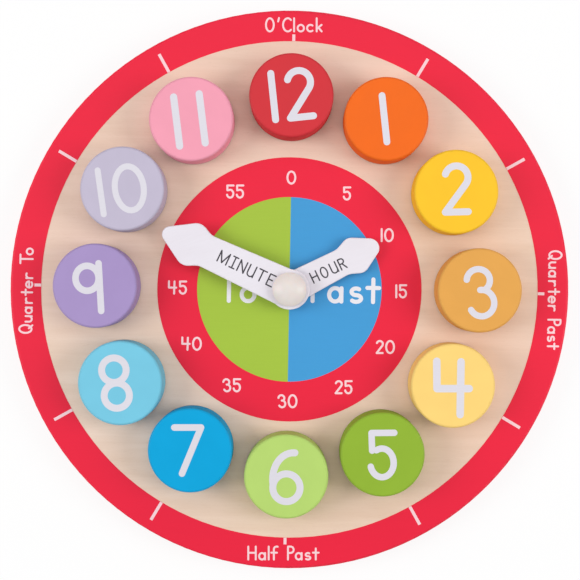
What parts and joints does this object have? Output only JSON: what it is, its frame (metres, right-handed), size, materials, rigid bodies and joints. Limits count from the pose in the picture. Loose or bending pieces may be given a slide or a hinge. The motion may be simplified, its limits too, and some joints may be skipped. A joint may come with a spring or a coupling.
{
  "type": "teaching clock",
  "caption": "Round wooden teaching clock: hands turn on a centre pivot, and thick painted number discs lift off pegs around a printed dial.",
  "frame": {"origin": "centre of the board's back face, which is the face the clock lies on", "axes": "+Z out of the dial, +Y towards twelve o'clock, +X towards three o'clock"},
  "size_m": [0.2852, 0.2852, 0.028],
  "materials": {
    "board_wood": "satin",
    "peg_wood": "matte",
    "red_print": "satin",
    "green_print": "satin",
    "blue_print": "satin",
    "hand_white": "satin",
    "white_print": "satin",
    "dark_print": "satin",
    "nylon": "satin",
    "cap_cream": "gloss",
    "steel": "satin",
    "disc_orange": "satin",
    "disc_yellow": "satin",
    "disc_tan": "satin",
    "disc_pale_yellow": "satin",
    "disc_leaf_green": "satin",
    "disc_lime": "satin",
    "disc_blue": "satin",
    "disc_sky": "satin",
    "disc_violet": "satin",
    "disc_lilac": "satin",
    "disc_pink": "satin",
    "disc_red": "satin"
  },
  "bodies": {
    "board": {"clock_board": "board_wood", "outer_ring_print": "red_print", "minute_ring_print": "red_print", "to_half_print": "green_print", "past_half_print": "blue_print", "dial_washer": "nylon", "hand_washer": "nylon", "back_washer": "steel", "pivot_screw": "steel", "cap_seat": "nylon", "pivot_cap": "cap_cream", "lock_nut": "steel", "peg_01": "peg_wood", "peg_02": "peg_wood", "peg_03": "peg_wood", "peg_04": "peg_wood", "peg_05": "peg_wood", "peg_06": "peg_wood", "peg_07": "peg_wood", "peg_08": "peg_wood", "peg_09": "peg_wood", "peg_10": "peg_wood", "peg_11": "peg_wood", "peg_12": "peg_wood"},
    "hour": {"hour_hand": "hand_white"},
    "minute": {"minute_hand": "hand_white"},
    "disc_01": {"number_disc_01": "disc_orange"},
    "disc_02": {"number_disc_02": "disc_yellow"},
    "disc_03": {"number_disc_03": "disc_tan"},
    "disc_04": {"number_disc_04": "disc_pale_yellow"},
    "disc_05": {"number_disc_05": "disc_leaf_green"},
    "disc_06": {"number_disc_06": "disc_lime"},
    "disc_07": {"number_disc_07": "disc_blue"},
    "disc_08": {"number_disc_08": "disc_sky"},
    "disc_09": {"number_disc_09": "disc_violet"},
    "disc_10": {"number_disc_10": "disc_lilac"},
    "disc_11": {"number_disc_11": "disc_pink"},
    "disc_12": {"number_disc_12": "disc_red"}
  },
  "joints": [
    {"name": "hour_turn", "type": "hinge", "parent": "board", "child": "hour", "pos_m": [0, 0, 0.01532], "axis": [0, 0, 1], "continuous": true},
    {"name": "minute_turn", "type": "hinge", "parent": "board", "child": "minute", "pos_m": [0, 0, 0.01932], "axis": [0, 0, 1], "continuous": true},
    {"name": "disc_01_lift", "type": "slide", "parent": "board", "child": "disc_01", "axis": [0, 0, 1], "range_m": [0, 0.03]},
    {"name": "disc_02_lift", "type": "slide", "parent": "board", "child": "disc_02", "axis": [0, 0, 1], "range_m": [0, 0.03]},
    {"name": "disc_03_lift", "type": "slide", "parent": "board", "child": "disc_03", "axis": [0, 0, 1], "range_m": [0, 0.03]},
    {"name": "disc_04_lift", "type": "slide", "parent": "board", "child": "disc_04", "axis": [0, 0, 1], "range_m": [0, 0.03]},
    {"name": "disc_05_lift", "type": "slide", "parent": "board", "child": "disc_05", "axis": [0, 0, 1], "range_m": [0, 0.03]},
    {"name": "disc_06_lift", "type": "slide", "parent": "board", "child": "disc_06", "axis": [0, 0, 1], "range_m": [0, 0.03]},
    {"name": "disc_07_lift", "type": "slide", "parent": "board", "child": "disc_07", "axis": [0, 0, 1], "range_m": [0, 0.03]},
    {"name": "disc_08_lift", "type": "slide", "parent": "board", "child": "disc_08", "axis": [0, 0, 1], "range_m": [0, 0.03]},
    {"name": "disc_09_lift", "type": "slide", "parent": "board", "child": "disc_09", "axis": [0, 0, 1], "range_m": [0, 0.03]},
    {"name": "disc_10_lift", "type": "slide", "parent": "board", "child": "disc_10", "axis": [0, 0, 1], "range_m": [0, 0.03]},
    {"name": "disc_11_lift", "type": "slide", "parent": "board", "child": "disc_11", "axis": [0, 0, 1], "range_m": [0, 0.03]},
    {"name": "disc_12_lift", "type": "slide", "parent": "board", "child": "disc_12", "axis": [0, 0, 1], "range_m": [0, 0.03]}
  ]
}
